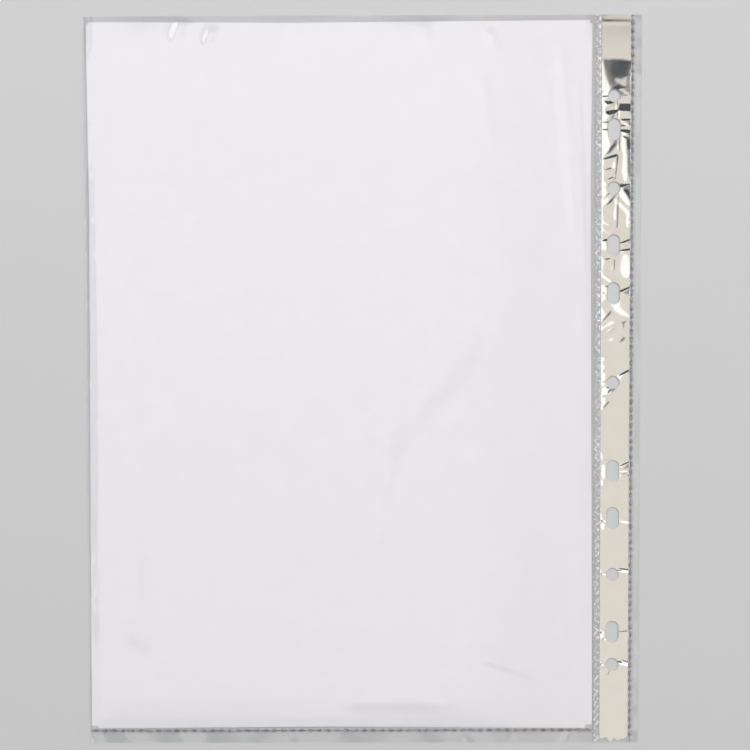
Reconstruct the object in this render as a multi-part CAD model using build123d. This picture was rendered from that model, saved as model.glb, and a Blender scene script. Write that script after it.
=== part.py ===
"""A4 sheet protector: a clear film pocket holding two loose sheets, with a punched binding margin.

The protector lies flat on its back. +X runs across the page towards the binding margin, +Y runs up the
page to the open mouth of the pocket, and +Z is the side that is read. The origin is the middle of the
outline, on the face that lies down. All sizes are in millimetres.
"""

import os
from math import cos, radians, sin

from build123d import *

# Loose sheets
SHEET_WIDTH = 210.0
SHEET_HEIGHT = 297.0
SHEET_THICKNESS = 0.10
SHEET_TURN = 0.35  # degrees that each sheet lies askew, one each way
SHEET_SHIFT_X = 0.46  # each sheet lies this far off the pocket's middle, one each way
SHEET_SHIFT_Y = 0.11
SHEET_AIR = 0.04  # air over and under each sheet

# Film pocket
FILM_THICKNESS = 0.08
SIDE_PLAY = 0.30  # from the outermost sheet corner to the fold, and to the inner weld
BOTTOM_PLAY = 0.30  # from the lowest sheet corner to the bottom weld
MOUTH_MARGIN = 2.2  # film standing above the highest sheet corner
BOTTOM_HEM = 4.6  # film hanging below the bottom weld

# Welded seams
INNER_WELD_WIDTH = 2.4
INNER_WELD_LINE = 0.8  # width of the zigzag line itself, across the page
INNER_WELD_PITCH = 3.3
SEAM_WIDTH = 1.2  # width of a bead in the two beaded seams
SEAM_LINE = 0.4  # width of the thin line that joins the beads
BEAD_LENGTH = 1.8
OUTER_WELD_PITCH = 3.3
BOTTOM_WELD_PITCH = 3.8

# Binding margin
CREASE_WIDTH = 0.4  # bare film between the inner weld and the strip, which bends as the page turns
STRIP_WIDTH = 12.0
STRIP_THICKNESS = 0.20
OUTER_WELD_GAP = 0.2  # from the strip's outer edge to the outer weld, where the films close on each other
OUTER_WELD_THICKNESS = 0.06  # what is left between the films along the lip
OUTER_LIP = 3.2  # film beyond the outer weld
HOLE_DIAMETER = 5.5
SLOT_LENGTH = 9.3
HOLE_FROM_STRIP_EDGE = 5.2  # from the strip's inner edge to the row of holes
ROUND_HOLE_OFFSETS = (0.0, 81.5, 120.0)  # from the middle of the row, both ways
SLOT_OFFSETS = (37.5, 57.5, 106.0)
PUNCH_OVERRUN = 1.0  # how far the punch passes through both faces

# Room that the two askew sheets need
turn = radians(SHEET_TURN)
sheet_span_x = SHEET_WIDTH * cos(turn) + SHEET_HEIGHT * sin(turn) + 2 * SHEET_SHIFT_X
sheet_span_y = SHEET_HEIGHT * cos(turn) + SHEET_WIDTH * sin(turn) + 2 * SHEET_SHIFT_Y

# Levels, from the face that lies down
pocket_floor = FILM_THICKNESS
back_sheet_level = pocket_floor + SHEET_AIR
front_sheet_level = back_sheet_level + SHEET_THICKNESS + SHEET_AIR
pocket_ceiling = front_sheet_level + SHEET_THICKNESS + SHEET_AIR
pocket_top = pocket_ceiling + FILM_THICKNESS
strip_top = pocket_floor + STRIP_THICKNESS
margin_top = strip_top + FILM_THICKNESS
crease_top = 2 * FILM_THICKNESS
lip_floor = (margin_top - OUTER_WELD_THICKNESS) / 2
lip_ceiling = lip_floor + OUTER_WELD_THICKNESS

# Stations across the page, from the folded edge to the outer edge of the binding margin
fold_radius = pocket_top / 2
pocket_width = sheet_span_x + 2 * SIDE_PLAY
outer_margin = OUTER_WELD_GAP + SEAM_WIDTH + OUTER_LIP
page_width = fold_radius + pocket_width + INNER_WELD_WIDTH + CREASE_WIDTH + STRIP_WIDTH + outer_margin
fold_x = -page_width / 2 + fold_radius
weld_x = fold_x + pocket_width
crease_x = weld_x + INNER_WELD_WIDTH
strip_x = crease_x + CREASE_WIDTH
strip_end_x = strip_x + STRIP_WIDTH
outer_weld_x = strip_end_x + OUTER_WELD_GAP
page_end_x = page_width / 2
hole_x = strip_x + HOLE_FROM_STRIP_EDGE
sheet_x = fold_x + pocket_width / 2

# Stations up the page, from the hem to the mouth
page_height = BOTTOM_HEM + SEAM_WIDTH + BOTTOM_PLAY + sheet_span_y + MOUTH_MARGIN
hem_y = -page_height / 2
mouth_y = page_height / 2
bottom_weld_y = hem_y + BOTTOM_HEM
sheet_y = bottom_weld_y + SEAM_WIDTH + BOTTOM_PLAY + sheet_span_y / 2


def plate(x_low, x_high, z_low, z_high):
    """A flat layer the full height of the page."""
    low_corner = (Align.MIN, Align.MIN, Align.MIN)
    layer = Box(x_high - x_low, page_height, z_high - z_low, align=low_corner)
    return Pos(x_low, hem_y, z_low) * layer


def outline_plate(points, z_low, z_high):
    """A flat layer with the given outline."""
    face = make_face(Polyline(*points, close=True))
    return Pos(0, 0, z_low) * extrude(face, amount=z_high - z_low)


def margin_film(outer_face, inner_face, lip_outer_face, lip_inner_face):
    """One film of the binding margin: flat on the strip, then closing on the other film along the lip."""
    outer = [(strip_x, outer_face), (strip_end_x, outer_face), (outer_weld_x, lip_outer_face)]
    inner = [(outer_weld_x, lip_inner_face), (strip_end_x, inner_face), (strip_x, inner_face)]
    lip_end = [(page_end_x, lip_outer_face), (page_end_x, lip_inner_face)]
    section = make_face(Polyline(*outer, *lip_end, *inner, close=True))
    mouth = Plane(origin=(0, mouth_y, 0), x_dir=(1, 0, 0), z_dir=(0, -1, 0))
    return extrude(mouth * section, page_height)


def punched(layer):
    """A layer of the binding margin with the row of round holes and slots punched through it."""
    depth = margin_top + 2 * PUNCH_OVERRUN
    round_punch = Cylinder(HOLE_DIAMETER / 2, depth)
    slot_punch = extrude(Rot(0, 0, 90) * SlotOverall(SLOT_LENGTH, HOLE_DIAMETER), depth / 2, both=True)
    for punch, offsets in ((round_punch, ROUND_HOLE_OFFSETS), (slot_punch, SLOT_OFFSETS)):
        for offset in offsets:
            for y in sorted({-offset, offset}):
                layer -= Pos(hole_x, y, margin_top / 2) * punch
    return layer


def folded_edge():
    """The film's own fold down the free side, half a thin tube from the back layer to the front one."""
    ring = Circle(fold_radius) - Circle(fold_radius - FILM_THICKNESS)
    half = ring & Pos(-fold_radius, 0) * Rectangle(2 * fold_radius, 2 * fold_radius)
    section = Plane(origin=(fold_x, hem_y, fold_radius), x_dir=(1, 0, 0), z_dir=(0, 1, 0))
    return extrude(section * half, page_height)


def zigzag_weld():
    """The knurled seam between pocket and strip: one zigzag line melted through both films."""
    swing = INNER_WELD_WIDTH - INNER_WELD_LINE
    half_pitches = max(2, round(2 * page_height / INNER_WELD_PITCH))
    step = page_height / half_pitches
    left = [(weld_x + swing * (i % 2), hem_y + i * step) for i in range(half_pitches + 1)]
    right = [(x + INNER_WELD_LINE, y) for x, y in reversed(left)]
    return outline_plate(left + right, pocket_floor, pocket_ceiling)


def beaded_seam(length, pitch):
    """Outline of a row of beads along +X from the origin, joined by a thin line, centred on y = 0."""
    beads = max(1, int(length // pitch))
    end_run = (length - (beads - 1) * pitch - BEAD_LENGTH) / 2
    upper = [(0, SEAM_LINE / 2)]
    for i in range(beads):
        start = end_run + i * pitch
        stop = start + BEAD_LENGTH
        upper += [(start, SEAM_LINE / 2), (start, SEAM_WIDTH / 2)]
        upper += [(stop, SEAM_WIDTH / 2), (stop, SEAM_LINE / 2)]
    upper.append((length, SEAM_LINE / 2))
    return upper + [(x, -y) for x, y in reversed(upper)]


def bottom_weld():
    """The beaded seam that closes the pocket under the sheets."""
    middle = bottom_weld_y + SEAM_WIDTH / 2
    points = [(fold_x + x, middle + y) for x, y in beaded_seam(pocket_width, BOTTOM_WELD_PITCH)]
    return outline_plate(points, pocket_floor, pocket_ceiling)


def outer_weld():
    """The beaded seam down the outer edge of the strip, which traps it between the films."""
    middle = outer_weld_x + SEAM_WIDTH / 2
    points = [(middle + y, hem_y + x) for x, y in beaded_seam(page_height, OUTER_WELD_PITCH)]
    return outline_plate(points, lip_floor, lip_ceiling)


def loose_sheet(level, side):
    """One sheet of paper in the pocket, askew and off the middle to the side of the given sign."""
    low_face = (Align.CENTER, Align.CENTER, Align.MIN)
    sheet = Rot(0, 0, side * SHEET_TURN) * Box(SHEET_WIDTH, SHEET_HEIGHT, SHEET_THICKNESS, align=low_face)
    return Pos(sheet_x + side * SHEET_SHIFT_X, sheet_y + side * SHEET_SHIFT_Y, level) * sheet


nodes = {
    "pocket_back_film": plate(fold_x, crease_x, 0, pocket_floor),
    "pocket_front_film": plate(fold_x, crease_x, pocket_ceiling, pocket_top),
    "folded_edge": folded_edge(),
    "inner_weld": zigzag_weld(),
    "bottom_weld": bottom_weld(),
    "crease_film": plate(crease_x, strip_x, 0, crease_top),
    "binding_strip": punched(plate(strip_x, strip_end_x, pocket_floor, strip_top)),
    "margin_back_film": punched(margin_film(0, pocket_floor, lip_floor - FILM_THICKNESS, lip_floor)),
    "margin_front_film": punched(
        margin_film(margin_top, strip_top, lip_ceiling + FILM_THICKNESS, lip_ceiling)
    ),
    "outer_weld": outer_weld(),
    "back_sheet": loose_sheet(back_sheet_level, -1),
    "front_sheet": loose_sheet(front_sheet_level, 1),
}

os.makedirs("parts", exist_ok=True)
for name, solid in nodes.items():
    solid.label = name
    export_step(solid, f"parts/{name}.step")

print(f"page {page_width:.2f} x {page_height:.2f} x {pocket_top:.2f}")
print(f"row of holes at x {hole_x:.3f}, crease at x {(crease_x + strip_x) / 2:.3f}, top {pocket_top:.3f}")
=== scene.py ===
"""An A4 sheet protector seen from above: a clear film pocket with two loose sheets and a punched binding."""

import math

import bpy
import numpy as np
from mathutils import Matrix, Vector
from mathutils.geometry import delaunay_2d_cdt


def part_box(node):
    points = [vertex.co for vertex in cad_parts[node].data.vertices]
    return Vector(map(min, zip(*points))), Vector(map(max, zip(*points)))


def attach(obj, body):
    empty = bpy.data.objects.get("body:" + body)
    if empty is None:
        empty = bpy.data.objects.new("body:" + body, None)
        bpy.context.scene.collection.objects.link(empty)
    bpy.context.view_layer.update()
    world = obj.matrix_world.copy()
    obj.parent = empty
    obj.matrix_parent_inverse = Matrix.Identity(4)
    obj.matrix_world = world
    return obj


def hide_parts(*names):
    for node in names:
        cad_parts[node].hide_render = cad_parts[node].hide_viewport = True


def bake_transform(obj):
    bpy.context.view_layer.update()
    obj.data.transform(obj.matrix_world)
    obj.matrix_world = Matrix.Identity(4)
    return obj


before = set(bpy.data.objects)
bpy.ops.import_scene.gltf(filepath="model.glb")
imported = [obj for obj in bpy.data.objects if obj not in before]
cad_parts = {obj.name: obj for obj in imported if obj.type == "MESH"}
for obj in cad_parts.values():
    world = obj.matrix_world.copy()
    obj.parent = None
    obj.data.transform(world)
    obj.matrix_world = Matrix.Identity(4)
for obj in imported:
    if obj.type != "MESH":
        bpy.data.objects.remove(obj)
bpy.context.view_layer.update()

# Loose sheets
# Two sheets of plain white A4 office paper, cut square, with the slight waviness that paper takes up from
# the air. Nothing fixes them: they lie in the pocket one on the other, a little askew, and slide out at its
# mouth.
mm = 0.001
SHEET_SIZE = (210 * mm, 297 * mm)
SHEET_TURN = {"front_sheet": math.radians(0.35), "back_sheet": math.radians(-0.35)}
SHEET_CELL = 2.2 * mm
SHEET_SWELL = 0.15 * mm
SWELL_FADE = 14 * mm  # the swelling dies out this far from the pocket's closed sides
SWELL_LENGTHS = (150, 120, 95, 80, 62, 48)  # millimetres from crest to crest
SWELL_SEED = 7
SMOOTH_ANGLE = math.radians(50)  # faces that meet more sharply than this keep a hard edge
MIX_FACTOR, MIX_FIRST, MIX_SECOND, MIX_RESULT = 0, 6, 7, 2  # sockets of a Mix node that mixes colours
THIN_PULP = (0.800, 0.783, 0.800)  # colour of the paper where its pulp lies thinner
THICK_PULP = (0.850, 0.833, 0.850)
PAPER_ROUGHNESS = 0.82
PAPER_SHINE = 0.25
PULP_CLOUDS = 260  # to the metre
PULP_FIBRES = 2600  # to the metre
FIBRE_HEIGHT = 0.03 * mm


def ease(value, start, end):
    """0 before start, 1 after end, and a smooth step between them."""
    share = np.clip((value - start) / (end - start), 0, 1)
    return share * share * (3 - 2 * share)


def ripples(x, y, lengths, seed):
    """Soft unevenness between 0 and 1: waves of the given lengths in millimetres, in seeded directions."""
    draw = np.random.default_rng(seed)
    total = np.zeros_like(x)
    for length in lengths:
        heading, start = draw.uniform(0, 2 * math.pi, 2)
        along = x * math.cos(heading) + y * math.sin(heading)
        total += np.sin(2 * math.pi * along / (length * mm) + start)
    return 0.5 + 0.5 * total / len(lengths)


pocket_low, pocket_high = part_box("pocket_front_film")
inner_weld_low, inner_weld_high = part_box("inner_weld")
bottom_weld_low, bottom_weld_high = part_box("bottom_weld")


def swell(x, y):
    """How far the filled pocket swells, from 0 along its closed sides to at most 1."""
    sides = ease(x, pocket_low[0], pocket_low[0] + SWELL_FADE)
    sides = sides * ease(x, inner_weld_low[0], inner_weld_low[0] - SWELL_FADE)
    closed_end = ease(y, bottom_weld_high[1], bottom_weld_high[1] + SWELL_FADE)
    return sides * closed_end * ripples(x, y, SWELL_LENGTHS, SWELL_SEED)


def flat_grid(name, low, high, level, columns, rows, turn=0.0):
    """A flat sheet of columns by rows faces over the given box, facing up."""
    bpy.ops.object.select_all(action="DESELECT")
    bpy.ops.mesh.primitive_grid_add(x_subdivisions=columns, y_subdivisions=rows, size=1)
    piece = bpy.context.object
    piece.name = name
    piece.scale = (high[0] - low[0], high[1] - low[1], 1)
    piece.rotation_euler.z = turn
    piece.location = ((low[0] + high[0]) / 2, (low[1] + high[1]) / 2, level)
    bpy.ops.object.transform_apply()
    return piece


def places_of(items, attribute):
    """The places of a mesh's points or faces, as rows of x, y and z."""
    places = np.empty(3 * len(items), np.float32)
    items.foreach_get(attribute, places)
    return places.astype(float).reshape(-1, 3)


def move_points(piece, move):
    """Give every point of a piece the place that move(x, y, z) works out for it."""
    x, y, z = places_of(piece.data.vertices, "co").T
    moved = np.stack(np.broadcast_arrays(*move(x, y, z)), axis=1)
    piece.data.vertices.foreach_set("co", moved.astype(np.float32).ravel())
    piece.data.update()


def thicken(piece, thickness):
    """Give a sheet its thickness, under the side that it faces, and shade it smooth."""
    bpy.ops.object.select_all(action="DESELECT")
    piece.select_set(True)
    bpy.context.view_layer.objects.active = piece
    bpy.ops.object.modifier_add(type="SOLIDIFY")
    wall = piece.modifiers[-1]
    wall.thickness = thickness
    wall.offset = -1
    bpy.ops.object.modifier_apply(modifier=wall.name)
    bpy.ops.object.shade_smooth_by_angle(angle=SMOOTH_ANGLE)


def new_material(name):
    """A node material with an empty tree, and its output."""
    made = bpy.data.materials.new(name)
    made.use_nodes = True
    made.node_tree.nodes.clear()
    return made, made.node_tree, made.node_tree.nodes.new("ShaderNodeOutputMaterial")


def add_node(tree, kind, **settings):
    """A node of a kind, with settings for its properties and, by their names, for its inputs."""
    made = tree.nodes.new("ShaderNode" + kind)
    for name, value in settings.items():
        socket = made.inputs.get(name.replace("_", " ").title())
        if socket:
            socket.default_value = value
        else:
            setattr(made, name, value)
    return made


def grain(tree, scale, detail=2.0, roughness=0.5):
    """Noise on the piece's own coordinates, with scale in grains to the metre."""
    place = add_node(tree, "TexCoord")
    noise = add_node(tree, "TexNoise", scale=scale, detail=detail, roughness=roughness)
    tree.links.new(place.outputs["Object"], noise.inputs["Vector"])
    return noise


def blend_of(tree, factor, first, second):
    """A colour that goes from the first to the second with a factor socket."""
    mix = add_node(tree, "Mix", data_type="RGBA")
    mix.inputs[MIX_FIRST].default_value = (*first, 1)
    mix.inputs[MIX_SECOND].default_value = (*second, 1)
    tree.links.new(factor, mix.inputs[MIX_FACTOR])
    return mix.outputs[MIX_RESULT]


def white_paper():
    """Matt white office paper: cloudy where the pulp lies thinner, with fine fibres standing up a little."""
    paper, tree, output = new_material("white paper")
    surface = add_node(tree, "BsdfPrincipled", roughness=PAPER_ROUGHNESS)
    surface.inputs["Specular IOR Level"].default_value = PAPER_SHINE
    clouds = grain(tree, PULP_CLOUDS, detail=4)
    fibres = grain(tree, PULP_FIBRES, detail=3, roughness=0.7)
    colour = blend_of(tree, clouds.outputs["Fac"], THIN_PULP, THICK_PULP)
    bump = add_node(tree, "Bump", strength=0.25, distance=FIBRE_HEIGHT)
    tree.links.new(fibres.outputs["Fac"], bump.inputs["Height"])
    tree.links.new(colour, surface.inputs["Base Color"])
    tree.links.new(bump.outputs["Normal"], surface.inputs["Normal"])
    tree.links.new(surface.outputs["BSDF"], output.inputs["Surface"])
    return paper


paper = white_paper()
for node, body in (("back_sheet", "back_paper"), ("front_sheet", "front_paper")):
    low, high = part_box(node)
    centre = [(a + b) / 2 for a, b in zip(low, high)]
    corner_low = [c - s / 2 for c, s in zip(centre, SHEET_SIZE)]
    corner_high = [c + s / 2 for c, s in zip(centre, SHEET_SIZE)]
    columns, rows = (round(size / SHEET_CELL) for size in SHEET_SIZE)
    sheet = flat_grid(node + "_paper", corner_low, corner_high, high[2], columns, rows, SHEET_TURN[node])
    move_points(sheet, lambda x, y, z: (x, y, z + SHEET_SWELL * swell(x, y)))
    thicken(sheet, high[2] - low[2])
    sheet.data.materials.append(paper)
    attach(sheet, body)
    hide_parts(node)

# Film pocket
# One web of clear polypropylene film, folded down its left side so that it lies over and under the sheets. It
# is open at the top. Along the bottom a seam closes it, and the film hangs below that seam as a loose hem.
FOLD_STEPS = 8
BACK_PANELS = 8
FINE_COLUMN_SHARE = 0.06  # share of the columns in the strips beside the fold and the inner weld
SIDE_BAND = 5 * mm
FINE_ROWS = (13, 204, 7)  # rows in the hem, over the sheets and at the mouth
HEM_BAND = 7 * mm
MOUTH_BAND = 5 * mm
FRONT_COLUMNS = 156
SAME_PLACE = 0.01 * mm  # points nearer than this to the fold are on it
MERGE_DISTANCE = 0.001 * mm
FILM_AIR = 0.05 * mm  # between the film and the upper sheet
FILM_SWELL = 0.30 * mm  # the most that the film swells off that sheet
MOUTH_RISE = 0.35 * mm
MOUTH_REACH = 30 * mm  # how far below its edge the mouth begins to rise
MOUTH_LENGTHS = (70, 45, 33)  # millimetres from crest to crest
MOUTH_SEED = 12
HEM_RISE = (-0.28, 0.40)  # millimetres, how far the corners of the hem's facets sink or stand up
HEM_FACET = (3.0, 8.0)  # millimetres, least and most width of a facet
HEM_SHIFT = 2  # millimetres, how far a facet's corners on the seam are off those on the free edge
HEM_SEED = 5
FACET_OVERRUN = 1  # millimetres, how far facets go on past a free edge
FACET_TOLERANCE = 1e-6
CREASE_FULL = (0.25, 0.6)  # shares of its length between which a crease has its full height
# Creases in the film over the sheets, in millimetres: both ends, then the height and half width of each
POCKET_CREASES = (
    ((2, -33), (52, 24), 0.34, 6.0),
    ((19, -19), (-20, -36), 0.28, 5.0),
    ((13, -14), (3, -70), 0.25, 5.0),
    ((5, -58), (-1, -98), 0.25, 5.0),
    ((-3, -63), (-38, -83), 0.14, 1.8),
    ((-5, -71), (-38, -93), 0.14, 1.8),
    ((24, -57), (3, -66), 0.10, 1.6),
    ((45, -115), (86, -129), 0.16, 1.8),
    ((-12, -136), (42, -136), 0.10, 2.6),
    ((-74.4, 152.5), (-79.2, 141.5), 0.66, 2.1),
    ((-61.6, 149.5), (-65.8, 139.5), 0.58, 1.8),
    ((24.6, 151.5), (27.6, 140.5), 0.20, 1.6),
    ((52.6, 148), (56, 139), 0.18, 1.6),
    ((49.5, 133), (53.5, 97), 0.16, 2.2),
    ((82, 150), (91.3, 42), 0.32, 2.4),
    ((88, 150), (94.0, 30), 0.20, 1.5),
    ((-91.6, -66), (-92.1, -106), 0.16, 2.6),
    ((-105, -99), (-81, -121), 0.12, 4.0),
    ((-81.7, 40), (-82.2, 1), 0.14, 2.2),
    ((-66.1, 48), (-66.6, 5), 0.14, 2.2),
    ((-75, -6), (-75.5, -50), 0.14, 2.2),
    ((-80, -0.5), (-17, -0.8), 0.12, 2.2),
    ((83.5, -34.8), (93.5, -35.2), 0.14, 1.1),
    ((79, -55.8), (93, -56.4), 0.14, 1.1),
)
# Nicks in the film along the fold: how many, the least and most of their reach, slant and height, and their
# half width, in millimetres
FOLD_NICKS = 34
NICK_LEAST = (2.0, -1.5, 0.05)
NICK_MOST = (5.5, 1.5, 0.14)
NICK_WIDTH = 0.45
NICK_SEED = 21
FILM_TINT = (0.994, 0.997, 1.0)
FILM_HAZE_COLOUR = (0.80, 0.81, 0.82)
FILM_HAZE = (0.003, 0.017)  # least and most share of the film that its haze hides
HAZE_CLOUDS = 90  # to the metre
FILM_MIRROR = 0.045  # share of light that the film mirrors face-on
MIRROR_POWER = 5.0  # how fast that share grows towards edge-on
FILM_ROUGHNESS = 0.10


def along_and_across(x, y, start, end):
    """Share of the way from start to end in millimetres, and how far to the right of it a place is."""
    run_x = (end[0] - start[0]) * mm
    run_y = (end[1] - start[1]) * mm
    from_x = x - start[0] * mm
    from_y = y - start[1] * mm
    length = math.hypot(run_x, run_y)
    return (from_x * run_x + from_y * run_y) / length**2, (from_x * run_y - from_y * run_x) / length


def crease(x, y, start, end, height, width):
    """A raised crease of soft section on the line from start to end in millimetres, dying out at both."""
    along, across = along_and_across(x, y, start, end)
    ends = ease(along, 0, CREASE_FULL[0]) * ease(along, 1, CREASE_FULL[1])
    return height * mm * ends * np.exp(-((across / (width * mm)) ** 2))


def facets(x, y, corners):
    """Height of a crumpled sheet whose flat facets join the corners: across, up and height in millimetres."""
    flat = [Vector(corner[:2]) for corner in corners]
    points, _, triangles, origins, _, _ = delaunay_2d_cdt(flat, [], [], 0, FACET_TOLERANCE)
    rise = np.zeros_like(x)
    for triangle in triangles:
        a, b, c = (points[i] * mm for i in triangle)
        high_a, high_b, high_c = (corners[origins[i][0]][2] * mm for i in triangle)
        area = (b.x - a.x) * (c.y - a.y) - (c.x - a.x) * (b.y - a.y)
        share_b = ((x - a.x) * (c.y - a.y) - (c.x - a.x) * (y - a.y)) / area
        share_c = ((b.x - a.x) * (y - a.y) - (x - a.x) * (b.y - a.y)) / area
        inside = (share_b > -FACET_TOLERANCE) & (share_c > -FACET_TOLERANCE)
        inside &= share_b + share_c < 1 + FACET_TOLERANCE
        height = high_a + share_b * (high_b - high_a) + share_c * (high_c - high_a)
        rise = np.where(inside, height, rise)
    return rise


def hem_corners():
    """Corners of the hem's facets: still along the seam, and up and down along the free edge."""
    draw = np.random.default_rng(HEM_SEED)
    seam, edge = bottom_weld_low[1] / mm, pocket_low[1] / mm - FACET_OVERRUN
    place, end = pocket_low[0] / mm, inner_weld_low[0] / mm
    corners = [(place, seam, 0.0), (place, edge, 0.0), (end, seam, 0.0), (end, edge, 0.0)]
    place += HEM_FACET[0]
    while place < end - HEM_FACET[0]:
        shift, height = draw.uniform((-HEM_SHIFT, HEM_RISE[0]), (HEM_SHIFT, HEM_RISE[1]))
        corners += [(place + shift, seam, 0.0), (place, edge, height)]
        place += draw.uniform(*HEM_FACET)
    return corners


def pocket_rise(x, y):
    """How far the front film stands above its flat place."""
    sides = ease(x, pocket_low[0], pocket_low[0] + SIDE_BAND)
    sides = sides * ease(x, inner_weld_low[0], inner_weld_low[0] - SIDE_BAND)
    over_sheets = ease(y, bottom_weld_high[1], bottom_weld_high[1] + SIDE_BAND)
    rise = SHEET_SWELL * swell(x, y) + FILM_AIR * sides * over_sheets
    # The film's own swell is the sheets' one with across and up exchanged, so that the two differ
    rise += FILM_SWELL * swell(y, x) * over_sheets * sides
    mouth = ease(y, pocket_high[1] - MOUTH_REACH, pocket_high[1])
    rise += MOUTH_RISE * sides * mouth * ripples(x, y, MOUTH_LENGTHS, MOUTH_SEED)
    for start, end, height, width in POCKET_CREASES:
        rise += crease(x, y, start, end, height, width) * sides
    draw = np.random.default_rng(NICK_SEED)
    left = pocket_low[0] / mm
    for height_up in draw.uniform(pocket_low[1] / mm, pocket_high[1] / mm, FOLD_NICKS):
        reach, slant, height = draw.uniform(NICK_LEAST, NICK_MOST)
        rise += crease(x, y, (left, height_up), (left + reach, height_up + slant), height, NICK_WIDTH)
    return rise + facets(x, y, hem_corners())


def clear_selection(kind):
    """Deselect the whole mesh of the active piece, ready to select edges or faces."""
    bpy.ops.object.mode_set(mode="EDIT")
    bpy.ops.mesh.select_mode(type=kind)
    bpy.ops.mesh.select_all(action="DESELECT")
    bpy.ops.object.mode_set(mode="OBJECT")


def select_edges(piece, test):
    """Go into edit mode with only those edges selected whose middle passes the test."""
    clear_selection("EDGE")
    points = piece.data.vertices
    for edge in piece.data.edges:
        first, second = edge.vertices
        edge.select = bool(test((points[first].co + points[second].co) / 2))
    bpy.ops.object.mode_set(mode="EDIT")


def clear_film():
    """Clear glossy film with a faint haze: mostly see-through, with a mirror share that grows edge-on."""
    film, tree, output = new_material("clear film")
    facing = add_node(tree, "LayerWeight", blend=0.5)
    power = add_node(tree, "Math", operation="POWER")
    power.inputs[1].default_value = MIRROR_POWER
    mirror_share = add_node(tree, "Math", operation="MULTIPLY_ADD")
    mirror_share.inputs[1].default_value = 1 - FILM_MIRROR
    mirror_share.inputs[2].default_value = FILM_MIRROR
    through = add_node(tree, "BsdfTransparent", color=(*FILM_TINT, 1))
    haze = add_node(tree, "BsdfDiffuse", color=(*FILM_HAZE_COLOUR, 1))
    clouds = grain(tree, HAZE_CLOUDS, detail=3)
    haze_share = add_node(tree, "MapRange", to_min=FILM_HAZE[0], to_max=FILM_HAZE[1])
    hazy = add_node(tree, "MixShader")
    gloss = add_node(tree, "BsdfGlossy", color=(1, 1, 1, 1), roughness=FILM_ROUGHNESS)
    surface = add_node(tree, "MixShader")
    tree.links.new(facing.outputs["Facing"], power.inputs[0])
    tree.links.new(power.outputs[0], mirror_share.inputs[0])
    tree.links.new(clouds.outputs["Fac"], haze_share.inputs["Value"])
    tree.links.new(haze_share.outputs[0], hazy.inputs[0])
    tree.links.new(through.outputs[0], hazy.inputs[1])
    tree.links.new(haze.outputs[0], hazy.inputs[2])
    tree.links.new(mirror_share.outputs[0], surface.inputs[0])
    tree.links.new(hazy.outputs[0], surface.inputs[1])
    tree.links.new(gloss.outputs[0], surface.inputs[2])
    tree.links.new(surface.outputs[0], output.inputs["Surface"])
    return film


film = clear_film()
fold_low, fold_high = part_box("folded_edge")
film_thickness = pocket_high[2] - pocket_low[2]
fold_x = pocket_low[0]
weld_x = inner_weld_low[0]
pocket = flat_grid(
    "pocket_film", pocket_low, (weld_x, pocket_high[1]), pocket_high[2], FRONT_COLUMNS, sum(FINE_ROWS)
)


def space_pocket_grid(x, y, z):
    """Close up the columns along both sides, and the rows in the hem and at the mouth."""
    fine = FINE_COLUMN_SHARE * (weld_x - fold_x)
    x = np.interp(x, (fold_x, fold_x + fine, weld_x - fine, weld_x),
                  (fold_x, fold_x + SIDE_BAND, weld_x - SIDE_BAND, weld_x))
    hem_rows, _, mouth_rows = FINE_ROWS
    low, high = pocket_low[1], pocket_high[1]
    row = (high - low) / sum(FINE_ROWS)
    y = np.interp(y, (low, low + hem_rows * row, high - mouth_rows * row, high),
                  (low, low + HEM_BAND, high - MOUTH_BAND, high))
    return x, y, z


move_points(pocket, space_pocket_grid)
move_points(pocket, lambda x, y, z: (x, y, z + pocket_rise(x, y)))
select_edges(pocket, lambda middle: middle.x < fold_x + SAME_PLACE)
bpy.ops.mesh.spin(
    steps=FOLD_STEPS, angle=math.pi, center=(fold_x, 0, (fold_low[2] + fold_high[2]) / 2), axis=(0, 1, 0)
)
panel = ((weld_x - fold_x) / BACK_PANELS, 0, 0)
for _ in range(BACK_PANELS):
    bpy.ops.mesh.extrude_region_move(TRANSFORM_OT_translate={"value": panel})
bpy.ops.mesh.select_all(action="SELECT")
bpy.ops.mesh.remove_doubles(threshold=MERGE_DISTANCE)
bpy.ops.mesh.normals_make_consistent(inside=False)
bpy.ops.object.mode_set(mode="OBJECT")
thicken(pocket, film_thickness)
pocket.data.materials.append(film)
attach(pocket, "pocket")
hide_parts("pocket_back_film", "pocket_front_film", "folded_edge")

# Binding strip
# A narrow tape of metallised silver foil, laid between the films down the binding side to strengthen it.
# The row of round holes and slots is punched through it. It creases easily, most of all at the holes near
# the top.
STRIP_COLUMNS = 34
# Rows of the strip and its films: upper end of each stretch and height of its rows, in millimetres
ROW_STRETCHES = (
    (-127, 0.6), (-102, 0.28), (-87, 0.6), (-76, 0.28), (-65, 0.6), (-52, 0.34),
    (-45, 0.6), (-30, 0.3), (-16, 0.6), (136, 0.37), (149, 0.6), (153.5, 0.3),
)
HOLE_RADIUS = 2.75 * mm
SLOT_REACH = 1.9 * mm  # from a slot's middle to the centre of its round end
ROUND_HOLES = (-120.0, -81.5, 0.0, 81.5, 120.0)  # millimetres up the page
SLOTS = (-106.0, -57.5, -37.5, 37.5, 57.5, 106.0)
HOLE_FROM_EDGE = 5.2 * mm  # from the strip's inner edge to the row of holes
INNER_FADE = (-0.2 * mm, 0.7 * mm)  # from the inner edge, where the foil's relief begins and is full
FACET_ROUNDING = 0.5 * mm
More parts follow.
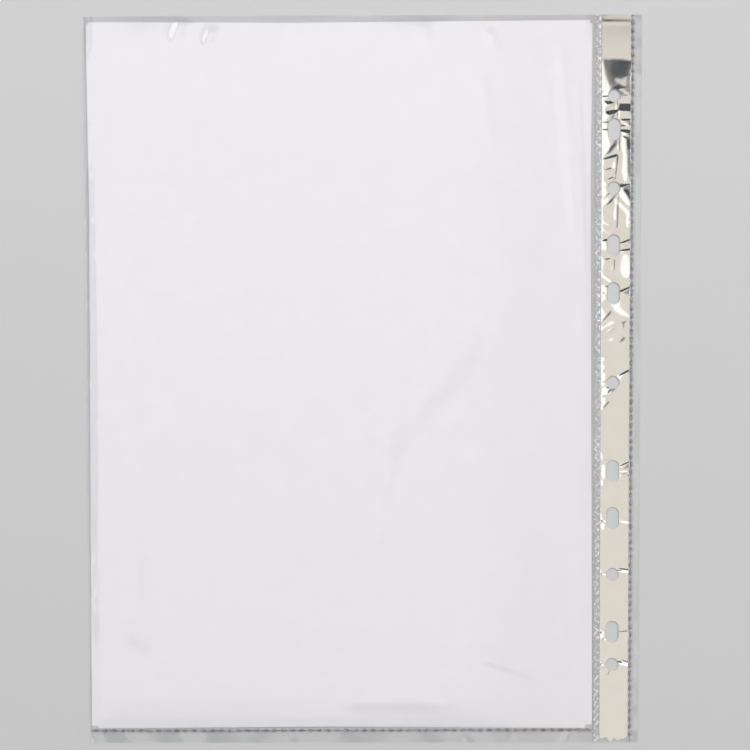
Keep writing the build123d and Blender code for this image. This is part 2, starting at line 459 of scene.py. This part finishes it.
# Corners of the facets at the foil's upper end, in millimetres from its inner edge, up the page and high
TOP_FACETS = (
    (0, 155.0, 0.00), (6, 155.0, 0.03), (12, 155.0, 0.04), (0, 151.6, 0.00), (12, 151.6, 0.01),
    (0, 150.4, 0.00), (6, 150.2, 0.00), (12, 150.0, 0.00),
    (0, 142.0, 0.00), (10.8, 143.0, 0.01), (12, 143.0, 0.00),
    (0, 135.3, 0.00), (4, 135.1, 0.00), (8, 134.8, 0.00), (10.8, 135.2, 0.01), (12, 134.6, 0.00),
    (0, 127.5, 0.06), (1.4, 127.5, 0.17), (3.0, 127.5, 0.18), (5.0, 127.5, 0.26),
    (6.4, 127.2, 0.30), (10.0, 127.5, 0.26), (12, 127.0, 0.14),
    (0, 121.5, 0.06), (1.4, 121.5, 0.18), (3.0, 121.5, 0.32), (4.2, 121.5, 0.42), (5.6, 121.5, 0.53),
    (7.8, 124.4, 0.34), (10.4, 122.6, 0.26), (12, 122.5, 0.16),
    (0, 117.5, 0.02), (2, 117.5, 0.06), (5.4, 117.5, 0.08), (9, 117.5, 0.05), (12, 117.5, 0.02),
)
CRUMPLE_TOP = 112.0  # millimetres up the page, where the listed facets give way to seeded ones
CRUMPLE_COLUMNS = (0.0, 3.4, 8.2, 12.0)
# Millimetres up the page, and how high the seeded corners may stand and how far apart their rows are there
CRUMPLE_RISE = ((-20, 5, 40, 90), (0.01, 0.02, 0.10, 0.20))
CRUMPLE_STEP = ((0, 40, 110), (16, 5.5, 4.2))
CRUMPLE_ASIDE = 1.4  # millimetres that a corner may lie beside its column
CRUMPLE_UP = 0.35  # share of the step that it may lie above or below its row
CRUMPLE_FOOT = 0.01  # millimetres, height of the corners past the lower end
CRUMPLE_SEED = 3
# Folds in the foil, in millimetres from its inner edge and up the page: both ends, height, and the widths
# of the steep side, which is on the left of the way from end to end, and of the gentle one
FOIL_FOLDS = (
    ((-9.0, 150.5), (21.0, 150.0), 0.014, 1.5, 1.5),
    ((-3.0, 121.0), (6.0, 121.2), 0.07, 0.6, 1.0),
    ((-3.0, 119.0), (6.0, 119.5), 0.09, 0.7, 1.2),
    ((6.5, 119.2), (15.0, 120.4), 0.10, 0.7, 1.0),
    ((13.6, 119.2), (7.4, 122.8), 0.06, 0.6, 3.0),
    ((6.5, 117.4), (15.0, 119.6), 0.08, 0.6, 1.0),
    ((2.2, 115.8), (-0.2, 118.2), 0.10, 1.0, 3.0),
    ((-2.5, 114.8), (7.0, 117.2), 0.20, 1.7, 2.0),
    ((2.2, 112.0), (-0.2, 114.4), 0.10, 1.0, 3.0),
    ((-2.0, 111.0), (7.0, 112.8), 0.20, 1.7, 2.0),
    ((6.4, 118.4), (6.2, 109.6), 0.08, 0.45, 0.6),
    ((7.5, 109.8), (7.2, 118.2), 0.08, 0.45, 2.0),
    ((6.4, 113.5), (15.6, 112.9), 0.30, 3.2, 3.0),
    ((6.0, 109.1), (15.0, 109.9), 0.10, 0.9, 1.0),
    ((13.4, 106.6), (7.0, 110.0), 0.11, 0.7, 2.0),
    ((6.0, 106.9), (15.0, 107.3), 0.10, 0.8, 1.0),
    ((6.0, 105.0), (15.0, 104.3), 0.10, 0.8, 1.0),
    ((14.0, 102.2), (7.2, 105.4), 0.12, 0.8, 2.0),
    ((2.8, 108.8), (1.4, 111.4), 0.12, 1.9, 6.0),
    ((-3.0, 108.3), (6.0, 109.0), 0.09, 0.6, 1.0),
    ((2.8, 105.6), (1.4, 108.6), 0.12, 1.9, 6.0),
    ((-3.0, 105.2), (6.0, 105.8), 0.09, 0.6, 1.0),
    ((2.8, 102.6), (1.4, 105.4), 0.12, 1.9, 6.0),
    ((-3.0, 102.0), (6.0, 102.8), 0.08, 0.6, 1.5),
    ((6.8, 102.6), (0.6, 95.0), 0.24, 1.9, 8.0),
    ((2.2, 95.4), (-0.2, 99.0), 0.12, 1.3, 3.0),
    ((-1.0, 92.4), (8.0, 94.8), 0.13, 1.5, 4.0),
    ((-1.5, 87.4), (7.5, 90.0), 0.11, 1.8, 4.0),
    ((2.0, 84.5), (6.4, 86.2), 0.09, 0.6, 1.5),
    ((6.8, 98.5), (5.5, 85.5), 0.08, 0.5, 2.0),
    ((7.2, 95.2), (7.0, 103.2), 0.08, 0.5, 0.6),
    ((10.2, 96.2), (10.0, 105.0), 0.22, 2.2, 2.4),
    ((11.0, 82.0), (10.5, 101.0), 0.20, 2.1, 2.6),
    ((3.4, 82.2), (-0.8, 85.8), 0.10, 1.0, 3.0),
    ((2.6, 78.6), (0.9, 83.6), 0.15, 1.5, 6.0),
    ((5.4, 81.2), (-1.4, 76.0), 0.14, 0.9, 2.5),
    ((6.8, 80.0), (1.6, 74.2), 0.14, 0.9, 3.0),
    ((4.6, 77.0), (-1.2, 72.4), 0.08, 0.8, 2.0),
    ((6.5, 81.4), (15.0, 83.6), 0.11, 0.6, 1.0),
    ((14.4, 71.8), (7.0, 83.4), 0.32, 2.4, 3.0),
    ((14.6, 68.8), (5.6, 77.6), 0.20, 1.6, 3.0),
    ((6.8, 81.0), (6.3, 62.5), 0.08, 0.5, 1.8),
    ((11.9, 63.4), (11.7, 72.8), 0.12, 1.8, 1.2),
    ((6.5, 64.8), (-0.8, 68.3), 0.12, 0.9, 3.0),
    ((6.5, 61.8), (-0.8, 64.8), 0.11, 0.9, 2.5),
    ((2.8, 55.2), (1.4, 60.0), 0.18, 1.9, 6.0),
    ((-2.5, 58.6), (5.5, 60.2), 0.07, 0.6, 1.0),
    ((-1.0, 50.5), (6.0, 51.9), 0.11, 1.4, 4.0),
    ((6.2, 57.4), (14.5, 60.4), 0.14, 0.7, 1.4),
    ((6.5, 56.6), (12.5, 57.4), 0.08, 0.5, 0.8),
    ((6.5, 54.8), (14.0, 55.8), 0.11, 0.6, 1.2),
    ((12.6, 41.5), (12.4, 57.0), 0.40, 5.2, 3.0),
    ((5.3, 54.0), (5.0, 43.6), 0.05, 0.6, 1.5),
    ((6.4, 41.4), (-0.6, 45.9), 0.12, 0.9, 3.0),
    ((2.8, 36.8), (1.6, 41.0), 0.17, 1.9, 6.0),
    ((-2.5, 36.8), (5.5, 37.8), 0.10, 0.5, 0.9),
    ((2.4, 34.4), (1.4, 37.8), 0.12, 1.6, 6.0),
    ((-2.5, 34.2), (5.5, 35.3), 0.10, 0.5, 0.9),
    ((6.0, 37.0), (14.5, 40.6), 0.16, 0.8, 1.8),
    ((14.0, 35.8), (6.0, 37.3), 0.12, 0.6, 2.0),
    ((19.0, 25.4), (4.6, 33.3), 0.36, 3.2, 10.0),
    ((4.8, 30.8), (-0.8, 24.8), 0.14, 0.7, 2.0),
    ((1.6, 28.0), (0.6, 31.2), 0.11, 1.1, 4.0),
    ((12.0, 26.1), (4.0, 24.2), 0.13, 0.7, 3.0),
    ((8.9, 26.0), (8.6, 21.4), 0.06, 1.6, 5.0),
    ((7.0, 25.4), (-0.4, 21.5), 0.10, 0.7, 2.0),
    ((7.4, 24.4), (2.0, 20.4), 0.09, 0.9, 2.0),
    ((10.2, 18.8), (2.8, 16.8), 0.12, 0.6, 3.0),
    ((10.2, 18.6), (5.8, 16.2), 0.09, 0.6, 1.5),
    ((13.0, 12.8), (6.4, 8.4), 0.05, 0.7, 2.0),
    ((1.9, 8.5), (1.3, 10.9), 0.13, 1.7, 6.0),
    ((-1.6, 7.4), (3.4, 8.4), 0.09, 0.5, 1.0),
    ((1.9, 5.3), (1.3, 7.8), 0.13, 1.7, 6.0),
    ((-1.6, 4.3), (3.4, 5.5), 0.09, 0.5, 1.0),
    ((2.7, 0.7), (1.5, 4.6), 0.17, 2.0, 6.0),
    ((-1.6, 0.0), (3.6, 1.0), 0.09, 0.5, 1.0),
    ((1.9, -1.7), (1.5, 0.2), 0.12, 1.6, 6.0),
    ((3.3, -4.8), (2.3, -1.6), 0.20, 2.4, 6.0),
    ((4.6, -2.6), (0.0, -6.4), 0.13, 0.6, 1.0),
    ((2.3, -8.9), (1.7, -5.9), 0.15, 1.8, 6.0),
    ((3.4, -8.1), (-0.6, -11.5), 0.13, 0.6, 1.0),
    ((1.3, -11.9), (0.9, -9.9), 0.09, 1.1, 4.0),
    ((6.0, 1.4), (14.5, 6.0), 0.26, 1.0, 6.0),
    ((4.4, -34.2), (-1.2, -30.2), 0.12, 1.0, 3.0),
    ((2.5, -38.2), (1.7, -34.2), 0.13, 1.7, 6.0),
    ((2.5, -41.2), (1.7, -37.0), 0.13, 1.7, 6.0),
    ((1.5, -44.2), (0.9, -40.8), 0.09, 1.1, 4.0),
    ((6.4, -36.8), (14.0, -33.0), 0.22, 0.9, 2.5),
    ((6.0, -37.5), (14.5, -37.1), 0.09, 0.4, 0.5),
    ((6.4, -40.0), (13.4, -38.3), 0.14, 0.8, 2.5),
    ((14.4, -59.4), (6.2, -57.8), 0.15, 1.1, 3.0),
    ((5.0, -59.2), (-2.2, -57.4), 0.15, 1.1, 3.0),
    ((2.3, -63.0), (1.5, -59.2), 0.12, 1.6, 4.0),
    ((6.0, -79.0), (14.5, -80.2), 0.22, 0.7, 1.0),
    ((5.2, -82.2), (-2.4, -79.8), 0.10, 0.7, 2.0),
    ((1.0, -107.0), (19.0, -105.4), 0.18, 0.8, 6.0),
    ((-2.4, -105.5), (5.4, -106.0), 0.12, 0.6, 1.2),
    ((2.1, -110.0), (1.3, -106.4), 0.08, 1.4, 4.0),
    ((6.0, -117.6), (14.4, -120.1), 0.20, 1.0, 1.4),
    ((2.6, -120.4), (-1.1, -118.8), 0.07, 0.6, 1.0),
    ((4.6, -121.0), (2.4, -126.4), 0.05, 0.5, 5.0),
)
FOLD_FULL = (0.45, 0.55)  # shares of its length between which a fold has its full height
FOLD_OVERRUN = 0.1  # share of its length that it goes on past each end
FOLD_SPREAD = 0.6  # share of a side's width at which the fold is down to about a third
# The turned page lies over the foil, and the foil stays under this room and slope from the crease
CLOSED_ROOM = 0.07 * mm
CLOSED_SLOPE = 0.085
LOW_END_RAG = 2.6 * mm
RAG_BAND = 6 * mm
RAG_LENGTHS = (2.9, 4.6, 7.5)  # millimetres from tooth to tooth
RAG_SEED = 29
DULL_FOIL = (0.90, 0.895, 0.885)  # colour of the foil where it is clouded most
BRIGHT_FOIL = (0.95, 0.945, 0.935)
FOIL_ROUGHNESS = (0.05, 0.11)  # least and most
FOIL_CLOUDS = 220  # to the metre
FOIL_MARKS = 700  # to the metre
MARK_HEIGHT = 0.02 * mm

strip_low, strip_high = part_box("binding_strip")
hole_x = strip_low[0] + HOLE_FROM_EDGE
row_places = [strip_low[1]]
for top, height in ROW_STRETCHES:
    top = min(top * mm, strip_high[1])
    rows = round((top - row_places[-1]) / (height * mm))
    row_places.extend(np.linspace(row_places[-1], top, rows + 1)[1:])


def space_rows(y):
    """Bring evenly spaced rows to their places, closer together where the foil is creased."""
    return np.interp(y, np.linspace(strip_low[1], strip_high[1], len(row_places)), row_places)


def fold(from_edge, y, start, end, height, steep, gentle):
    """One fold of the foil, steep on the left of the way from start to end and gentle on its right."""
    along, across = along_and_across(from_edge, y, start, end)
    ends = ease(along, -FOLD_OVERRUN, FOLD_FULL[0]) * ease(along, 1 + FOLD_OVERRUN, FOLD_FULL[1])
    width = FOLD_SPREAD * mm * np.where(across < 0, steep, gentle)
    return height * mm * ends * np.exp(-((across / width) ** 2))


def crumple_corners():
    """Corners of the foil's facets: listed at the top, then seeded, larger and flatter towards the foot."""
    draw = np.random.default_rng(CRUMPLE_SEED)
    corners = list(TOP_FACETS)
    row = CRUMPLE_TOP
    while row > strip_low[1] / mm:
        rise = np.interp(row, *CRUMPLE_RISE)
        step = np.interp(row, *CRUMPLE_STEP)
        most = (CRUMPLE_ASIDE, CRUMPLE_UP * step, rise)
        for across in CRUMPLE_COLUMNS:
            aside, up, height = draw.uniform((-most[0], -most[1], 0), most)
            if across in (CRUMPLE_COLUMNS[0], CRUMPLE_COLUMNS[-1]):
                aside, height = 0, height / 2
            corners.append((across + aside, row + up, height))
        row -= step
    last = strip_low[1] / mm - FACET_OVERRUN
    return corners + [(across, last, CRUMPLE_FOOT) for across in CRUMPLE_COLUMNS]


def foil_rise(x, y):
    """How far the creased foil stands above its flat place."""
    from_edge = x - strip_low[0]
    corners = crumple_corners()
    rise = np.zeros_like(x)
    # The mean of four places rounds the edges between facets
    for aside in (-FACET_ROUNDING, FACET_ROUNDING):
        for up in (-FACET_ROUNDING, FACET_ROUNDING):
            inside = np.clip(from_edge + aside, 0, strip_high[0] - strip_low[0])
            rise += facets(inside, y + up, corners) / 4
    for start, end, height, steep, gentle in FOIL_FOLDS:
        rise += fold(from_edge, y, start, end, height, steep, gentle)
    rise *= ease(from_edge, *INNER_FADE)
    return np.minimum(rise, CLOSED_ROOM + CLOSED_SLOPE * np.maximum(from_edge, 0))


def punch(piece):
    """Punch the row of round holes and slots: take out the faces inside and draw the rim onto the outline."""
    mesh = piece.data
    corners = places_of(mesh.vertices, "co")
    centres = places_of(mesh.polygons, "center")
    inside = np.zeros(len(centres), bool)
    rims = []
    for places, reach in ((ROUND_HOLES, 0.0), (SLOTS, SLOT_REACH)):
        for place in places:
            rims.append((place * mm, reach))
            beside = centres[:, 0] - hole_x
            above = np.maximum(np.abs(centres[:, 1] - place * mm) - reach, 0)
            inside |= np.hypot(beside, above) < HOLE_RADIUS
    corner_of = np.empty(len(mesh.loops), np.int32)
    mesh.loops.foreach_get("vertex_index", corner_of)
    face_sizes = np.empty(len(mesh.polygons), np.int32)
    mesh.polygons.foreach_get("loop_total", face_sizes)
    loop_inside = np.repeat(inside, face_sizes)
    gone = np.zeros(len(corners), bool)
    kept = np.zeros(len(corners), bool)
    gone[corner_of[loop_inside]] = True
    kept[corner_of[~loop_inside]] = True
    rim = np.flatnonzero(gone & kept)
    for place, reach in rims:
        near = rim[np.abs(corners[rim, 1] - place) < reach + 2 * HOLE_RADIUS]
        axis_y = place + np.clip(corners[near, 1] - place, -reach, reach)
        across = np.stack((corners[near, 0] - hole_x, corners[near, 1] - axis_y))
        across *= HOLE_RADIUS / np.hypot(*across)
        corners[near, 0] = hole_x + across[0]
        corners[near, 1] = axis_y + across[1]
    mesh.vertices.foreach_set("co", corners.astype(np.float32).ravel())
    clear_selection("FACE")
    mesh.polygons.foreach_set("select", inside)
    bpy.ops.object.mode_set(mode="EDIT")
    bpy.ops.mesh.delete(type="FACE")
    bpy.ops.object.mode_set(mode="OBJECT")


def silver_foil():
    """Bright metallised foil: a clean mirror with slight clouding and fine handling marks."""
    foil, tree, output = new_material("silver foil")
    surface = add_node(tree, "BsdfPrincipled", metallic=1.0)
    clouds = grain(tree, FOIL_CLOUDS, detail=4)
    colour = blend_of(tree, clouds.outputs["Fac"], DULL_FOIL, BRIGHT_FOIL)
    dulling = add_node(tree, "MapRange", to_min=FOIL_ROUGHNESS[0], to_max=FOIL_ROUGHNESS[1])
    marks = grain(tree, FOIL_MARKS, detail=2)
    bump = add_node(tree, "Bump", strength=0.12, distance=MARK_HEIGHT)
    tree.links.new(clouds.outputs["Fac"], dulling.inputs["Value"])
    tree.links.new(dulling.outputs[0], surface.inputs["Roughness"])
    tree.links.new(colour, surface.inputs["Base Color"])
    tree.links.new(marks.outputs["Fac"], bump.inputs["Height"])
    tree.links.new(bump.outputs["Normal"], surface.inputs["Normal"])
    tree.links.new(surface.outputs["BSDF"], output.inputs["Surface"])
    return foil


strip = flat_grid("binding_foil", strip_low, strip_high, strip_high[2], STRIP_COLUMNS, len(row_places) - 1)
move_points(strip, lambda x, y, z: (x, space_rows(y), z))
punch(strip)


def crumple_foil(x, y, z):
    """Crease the foil, and leave its lower end uneven where it was cut."""
    rag = LOW_END_RAG * ripples(x, 0 * y, RAG_LENGTHS, RAG_SEED)
    return x, y + rag * ease(y, strip_low[1] + RAG_BAND, strip_low[1]), z + foil_rise(x, y)


move_points(strip, crumple_foil)
thicken(strip, strip_high[2] - strip_low[2])
strip.data.materials.append(silver_foil())
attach(strip, "binding")
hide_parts("binding_strip")

# Binding margin films
# The same two films beyond the pocket. A knurled zigzag seam closes the pocket, then the films part over and
# under the foil strip and close again along a beaded seam and a loose lip. The page turns on the bare crease.
FRONT_COLUMNS_BY_STRETCH = (8, 3, STRIP_COLUMNS, 1, 4, 6)
BACK_COLUMNS_BY_STRETCH = (5, 3, STRIP_COLUMNS // 2, 1, 3, 4)
FILM_ON_FOIL = 0.012 * mm  # air between the front film and the foil
ZIGZAG_LINE = 0.8 * mm
ZIGZAG_STEPS = 186  # half pitches up the page
ZIGZAG_SINK = 0.14 * mm  # how far the film lies down between the zigzag's lines
SINK_REACH = 0.4 * mm  # from the pocket's edge to where it lies fully down
CREASE_FALL = (-0.3 * mm, 0.05 * mm)  # from the crease, where the film begins and ends to come down
CREASE_CLIMB = 0.1 * mm  # from the crease, where it begins to climb over the foil
BEAD_LENGTH = 1.8 * mm
BEAD_PITCH = 3.3 * mm
BEAD_PRESS = 0.20 * mm  # how far the film stands up between the beads
BEAD_END = 0.35 * mm  # how far past its end a bead's press dies out
BEAD_SIDE = (0.4 * mm, -0.1 * mm)  # off its side, where the press ends and where it is full
PUFF_REACH = 0.3 * mm  # from the outer weld, where the film stands up fully between the beads
LIP_RISE = 0.45 * mm
LIP_LENGTHS = (61, 37, 23, 11)  # millimetres from crest to crest
LIP_SEED = 41
BACK_LIP_SHARE = 0.6  # the back film's lip waves less than the front film's

binding_low, binding_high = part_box("margin_front_film")
crease_low, crease_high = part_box("crease_film")
outer_weld_low, outer_weld_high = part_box("outer_weld")
stations = (
    inner_weld_low[0], crease_low[0], strip_low[0], strip_high[0],
    outer_weld_low[0], outer_weld_high[0], binding_high[0],
)


def zigzag_lines(x, y):
    """1 on the melted zigzag line of the inner weld, falling to 0 a little way off it."""
    swing = inner_weld_high[0] - inner_weld_low[0] - ZIGZAG_LINE
    half_pitch = (inner_weld_high[1] - inner_weld_low[1]) / ZIGZAG_STEPS
    steps = (y - inner_weld_low[1]) / half_pitch
    share = 1 - np.abs(1 - steps % 2)
    middle = inner_weld_low[0] + ZIGZAG_LINE / 2 + swing * share
    return ease(np.abs(x - middle), ZIGZAG_LINE, ZIGZAG_LINE / 2)


def bead_presses(x, y):
    """1 on the pressed beads of the outer weld, 0 away from them."""
    height = outer_weld_high[1] - outer_weld_low[1]
    beads = int(height / BEAD_PITCH)
    first = outer_weld_low[1] + (height - (beads - 1) * BEAD_PITCH) / 2
    off = np.abs((y - first + BEAD_PITCH / 2) % BEAD_PITCH - BEAD_PITCH / 2)
    along = ease(off, BEAD_LENGTH / 2 + BEAD_END, BEAD_LENGTH / 2)
    middle = (outer_weld_low[0] + outer_weld_high[0]) / 2
    half = (outer_weld_high[0] - outer_weld_low[0]) / 2
    return along * ease(np.abs(x - middle), half + BEAD_SIDE[0], half + BEAD_SIDE[1])


def lip_rise(x, y):
    """How far the loose lip waves up beyond the outer weld."""
    loose = ease(x, outer_weld_low[0], binding_high[0])
    puffed = ease(x, strip_high[0], outer_weld_low[0] + PUFF_REACH) * (1 - bead_presses(x, y))
    return LIP_RISE * loose * ripples(y, x, LIP_LENGTHS, LIP_SEED) + BEAD_PRESS * puffed


def front_margin_top(x, y, z):
    """Top of the front film: down between the weld's lines, over the foil, then along the lip."""
    sink = ZIGZAG_SINK * (1 - zigzag_lines(x, y)) * ease(x, weld_x, weld_x + SINK_REACH)
    seam = pocket_high[2] - sink
    over_foil = strip_high[2] + film_thickness + FILM_ON_FOIL + foil_rise(x, y)
    lip = outer_weld_high[2] + film_thickness + lip_rise(x, y)
    fall = ease(x, crease_low[0] + CREASE_FALL[0], crease_low[0] + CREASE_FALL[1])
    top = seam + (crease_high[2] - seam) * fall
    top = top + (over_foil - top) * ease(x, crease_low[0] + CREASE_CLIMB, strip_low[0])
    return x, y, top + (lip - top) * ease(x, strip_high[0], outer_weld_low[0])


def back_margin_under(x, y, z):
    """Underside of the back film: flat under the foil, then closing on the front film along the lip."""
    loose = ease(x, outer_weld_high[0], binding_high[0])
    wave = BACK_LIP_SHARE * LIP_RISE * loose * ripples(y, x, LIP_LENGTHS, LIP_SEED)
    lip = outer_weld_low[2] - film_thickness + wave
    return x, y, lip * ease(x, strip_high[0], outer_weld_low[0])


def margin_film(name, columns_by_stretch, rows, shape):
    """One film of the margin, from the edge of the pocket to the lip, punched and shaped."""
    low = (stations[0], binding_low[1])
    high = (stations[-1], binding_high[1])
    columns = sum(columns_by_stretch)
    piece = flat_grid(name, low, high, 0, columns, rows)
    marks = np.cumsum((0, *columns_by_stretch)) / columns
    even = stations[0] + marks * (stations[-1] - stations[0])
    move_points(piece, lambda x, y, z: (np.interp(x, even, stations), space_rows(y), z))
    punch(piece)
    move_points(piece, shape)
    return piece


rows = len(row_places) - 1
margin_front = margin_film("margin_film_front", FRONT_COLUMNS_BY_STRETCH, rows, front_margin_top)
margin_back = margin_film("margin_film_back", BACK_COLUMNS_BY_STRETCH, rows // 2, back_margin_under)
# The back film is the last piece made, and it has to face down
bpy.ops.object.mode_set(mode="EDIT")
bpy.ops.mesh.select_all(action="SELECT")
bpy.ops.mesh.flip_normals()
bpy.ops.object.mode_set(mode="OBJECT")
film_nodes = {margin_front: ("margin_front_film", "crease_film"), margin_back: ("margin_back_film",)}
for piece, nodes in film_nodes.items():
    thicken(piece, film_thickness)
    piece.data.materials.append(film)
    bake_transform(piece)
    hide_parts(*nodes)

# Heat seams
# The zigzag, bottom and outer seams, where hot bars melted the two films together. The melted plastic is a
# little milky and uneven; on the bottom and outer seams its dark grey is painted shade, for the dark that
# their pressed beads show. The seams keep their own solids, and only their material is made here.
MELT_TINT = (0.97, 0.975, 0.98)
MELT_ROUGHNESS = 0.28
MILK_AND_SHADE_SPREAD = (0.35, 0.65)  # the noise between which the zigzag seam's milk and the beaded seams' painted shade go from least to most


def melted_film(name, colour, scale, least, most):
    """Melted film, glossy, in grains of a scale of the given colour: milky where pale, painted shade where
    dark. Least and most are the shares that it hides.
    """
    weld, tree, output = new_material(name)
    through = add_node(tree, "BsdfTransparent", color=(*MELT_TINT, 1))
    milk_and_painted_shade = add_node(tree, "BsdfPrincipled", roughness=MELT_ROUGHNESS, base_color=(*colour, 1))
    clouds = grain(tree, scale, detail=3)
    start, end = MILK_AND_SHADE_SPREAD
    share = add_node(tree, "MapRange", from_min=start, from_max=end, to_min=least, to_max=most)
    surface = add_node(tree, "MixShader")
    tree.links.new(clouds.outputs["Fac"], share.inputs["Value"])
    tree.links.new(share.outputs[0], surface.inputs[0])
    tree.links.new(through.outputs[0], surface.inputs[1])
    tree.links.new(milk_and_painted_shade.outputs[0], surface.inputs[2])
    tree.links.new(surface.outputs[0], output.inputs["Surface"])
    return weld


knurled = melted_film("knurled seam", colour=(0.93, 0.935, 0.94), scale=1100, least=0.40, most=1.0)
# The bottom and outer seams are painted dark grey: painted shade for the dark that their pressed beads show.
painted_shade_beads = melted_film("beaded seam", colour=(0.42, 0.42, 0.43), scale=700, least=0.25, most=0.90)
for node, seam in (("inner_weld", knurled), ("bottom_weld", painted_shade_beads), ("outer_weld", painted_shade_beads)):
    for slot in bpy.data.objects[node].material_slots:
        slot.material = seam

# Floor
# A plain pale matt floor that is large enough to fill every view. It lies just under the film, so that the
# two faces aren't in one place.
FLOOR_COLOUR = (0.60, 0.60, 0.60)
FLOOR_DARKER = 0.985  # share of that colour in its darkest clouds
FLOOR_CLOUDS = 3  # to the metre
FLOOR_ROUGHNESS = 0.9
FLOOR_SIZE = 12  # metres
FLOOR_LEVEL = -0.1 * mm


def pale_floor():
    """Matt pale floor with a barely visible unevenness."""
    floor, tree, output = new_material("pale floor")
    surface = add_node(tree, "BsdfPrincipled", roughness=FLOOR_ROUGHNESS)
    clouds = grain(tree, FLOOR_CLOUDS, detail=2)
    darker = [FLOOR_DARKER * part for part in FLOOR_COLOUR]
    colour = blend_of(tree, clouds.outputs["Fac"], darker, FLOOR_COLOUR)
    tree.links.new(colour, surface.inputs["Base Color"])
    tree.links.new(surface.outputs["BSDF"], output.inputs["Surface"])
    return floor


bpy.ops.object.select_all(action="DESELECT")
bpy.ops.mesh.primitive_plane_add(size=FLOOR_SIZE, location=(0, 0, FLOOR_LEVEL))
floor = bpy.context.object
floor.name = "floor"
floor.data.materials.append(pale_floor())

# Light
# Three soft panels overhead, which the film and the flat foil mirror, and four large soft boxes round them,
# which show as glints in the foil's folds. The room is dark overhead, so folds that mirror no lamp are dark.
PAGE_COLOUR = (1.0, 0.97, 0.925)
BINDING_COLOUR = (1.0, 0.91, 0.79)
BOX_COLOUR = (1.0, 0.985, 0.985)
LAMP_HEIGHT = 1.6  # metres
ROOM_LOW = (0.42, 0.44, 0.46)  # light of the room at the horizon
ROOM_HIGH = (0.045, 0.052, 0.057)  # and from the top of its fade upwards
ROOM_FADE = 0.6  # share of the way up
# Each lamp: its reach across and up the page, its radiance and its colour
LAMPS = {
    "page_panel": ((-0.42, 0.13), (-0.525, 0.275), 1.10, PAGE_COLOUR),
    "binding_panel": ((0.13, 0.42), (-0.62, 0.275), 0.75, BINDING_COLOUR),
    "shade_panel": ((0.42, 0.66), (-0.62, 0.275), 0.26, BOX_COLOUR),
    "foot_box": ((0.13, 0.62), (-1.40, -0.62), 1.7, BOX_COLOUR),
    "left_box": ((-1.85, -0.60), (-0.7, 1.5), 2.0, BOX_COLOUR),
    "right_box": ((1.5, 2.7), (-0.7, 1.5), 5.8, BOX_COLOUR),
    "head_box": ((-1.3, 1.3), (1.3, 2.5), 5.3, BOX_COLOUR),
}
for name, (across, up, radiance, colour) in LAMPS.items():
    bpy.ops.object.light_add(type="AREA", location=(sum(across) / 2, sum(up) / 2, LAMP_HEIGHT))
    lamp = bpy.context.object
    lamp.name = name
    lamp.data.shape = "RECTANGLE"
    lamp.data.size = across[1] - across[0]
    lamp.data.size_y = up[1] - up[0]
    lamp.data.energy = radiance * math.pi * lamp.data.size * lamp.data.size_y
    lamp.data.color = colour

room = bpy.data.worlds.new("room")
bpy.context.scene.world = room
room.use_nodes = True
tree = room.node_tree
place = add_node(tree, "TexCoord")
parts = add_node(tree, "SeparateXYZ")
height = add_node(tree, "MapRange", from_max=ROOM_FADE)
tree.links.new(place.outputs["Generated"], parts.inputs["Vector"])
tree.links.new(parts.outputs["Z"], height.inputs["Value"])
shade = blend_of(tree, height.outputs[0], ROOM_LOW, ROOM_HIGH)
tree.links.new(shade, tree.nodes["Background"].inputs["Color"])

# Camera
# Nearly straight above the page, about a metre up, as the photograph was taken. Its place, turn and lens were
# fitted to the corners of the paper and the film and to the row of holes.
CAMERA_PLACE = (0.0106, 0.0786, 1.0007)
CAMERA_TURN = (-4.3, 0.308, -0.179)  # degrees about X, Y and Z
CAMERA_LENS = 114.5  # millimetres
CAMERA_SENSOR = 36  # millimetres wide
CAMERA_NEAR = 0.01
bpy.ops.object.camera_add(location=CAMERA_PLACE, rotation=[math.radians(turn) for turn in CAMERA_TURN])
camera = bpy.context.object
camera.data.lens = CAMERA_LENS
camera.data.sensor_width = CAMERA_SENSOR
camera.data.clip_start = CAMERA_NEAR
bpy.context.scene.camera = camera
bpy.context.scene.view_settings.view_transform = "Standard"
